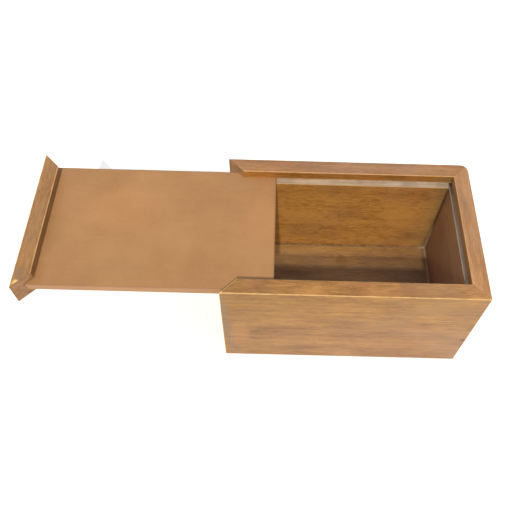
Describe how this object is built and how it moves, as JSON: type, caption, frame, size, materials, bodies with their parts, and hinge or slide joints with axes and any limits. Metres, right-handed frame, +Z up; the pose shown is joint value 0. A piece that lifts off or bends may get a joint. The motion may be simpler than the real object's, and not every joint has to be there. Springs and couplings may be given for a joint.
{
  "type": "wooden puzzle box",
  "caption": "Mitred rectangular wooden box with a sliding panel lid whose mitred end strip is disguised as part of the rim and draws out lengthwise.",
  "frame": {"origin": "centre of the box's base, on the surface it stands on", "axes": "+X along the box towards its fixed end, away from the drawn-out lid; +Y from the front wall to the back wall; +Z up"},
  "size_m": [0.273, 0.099, 0.086],
  "materials": {
    "front_wood": "satin stain, fine straight grain along the board",
    "back_wood": "satin stain, wavy golden grain inside",
    "end_wood": "satin stain, grain across the end, darker inside",
    "floor_wood": "dull dark stain, banded along the box",
    "dried_glue": "dried clear-grey wood glue over stain",
    "head_wood": "satin stain, worn pale edges",
    "lid_board": "smooth satin stain on plain board, hardly any grain"
  },
  "bodies": {
    "box": {"front_wall": "front_wood", "back_wall": "back_wood", "right_wall": "end_wood", "left_wall": "end_wood", "floor_panel": "floor_wood", "floor_glue": "dried_glue", "corner_glue": "dried_glue"},
    "lid": {"lid_head": "head_wood", "lid_panel": "lid_board"}
  },
  "joints": [
    {"name": "lid_slide", "type": "slide", "parent": "box", "child": "lid", "axis": [1, 0, 0], "range_m": [-0.042, 0.118]}
  ]
}
